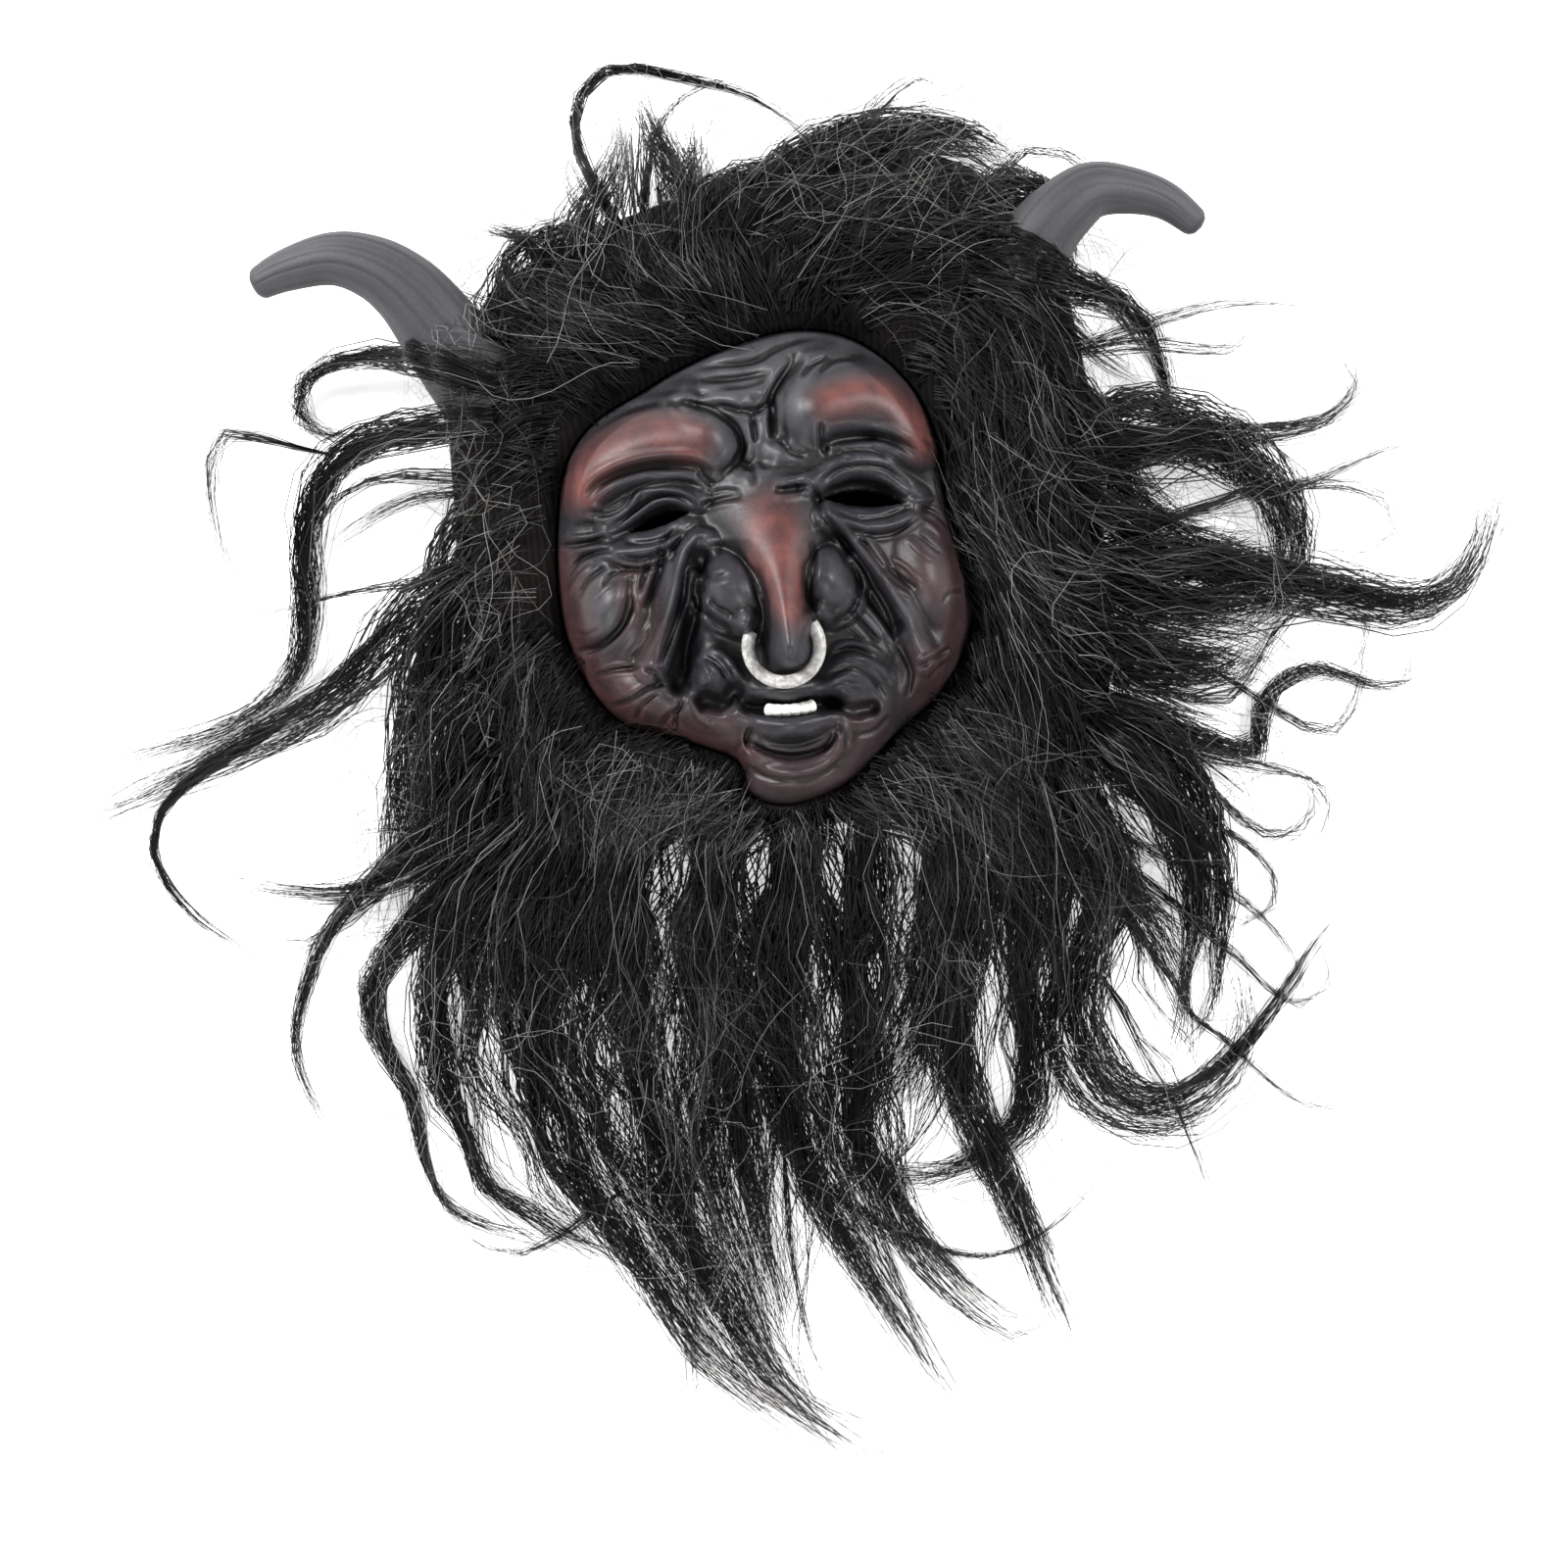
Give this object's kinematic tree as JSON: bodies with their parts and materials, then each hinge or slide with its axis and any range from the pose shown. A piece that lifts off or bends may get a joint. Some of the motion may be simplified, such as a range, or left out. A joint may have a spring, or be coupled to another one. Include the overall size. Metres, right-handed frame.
{
  "type": "costume mask",
  "caption": "Full-head costume mask of a horned bull-man, grey with dull red patches: wrinkled latex face, hooked nose with a ring, horns and a hood of long wild black fur.",
  "frame": {"origin": "on the resting plane under the back of the hood, behind the bridge of the nose", "axes": "+Z out of the face and up as the mask lies on its back, +Y to the top of the head, +X to the right of someone looking at the face"},
  "size_m": [0.6615, 0.6445, 0.129],
  "materials": {
    "latex": "painted cast latex, satin, dark grey with dull red sprayed on the brows, nose and cheeks",
    "horn": "matt painted foam latex, dull grey, grooved lengthwise",
    "ring": "light grey moulded plastic, slightly scuffed",
    "fur": "long synthetic fur, black, with a soft gloss along the strands"
  },
  "bodies": {
    "root": {"face": "latex", "horn_left": "horn", "horn_right": "horn", "nose_ring": "ring", "fur_hood": "fur"}
  },
  "joints": []
}
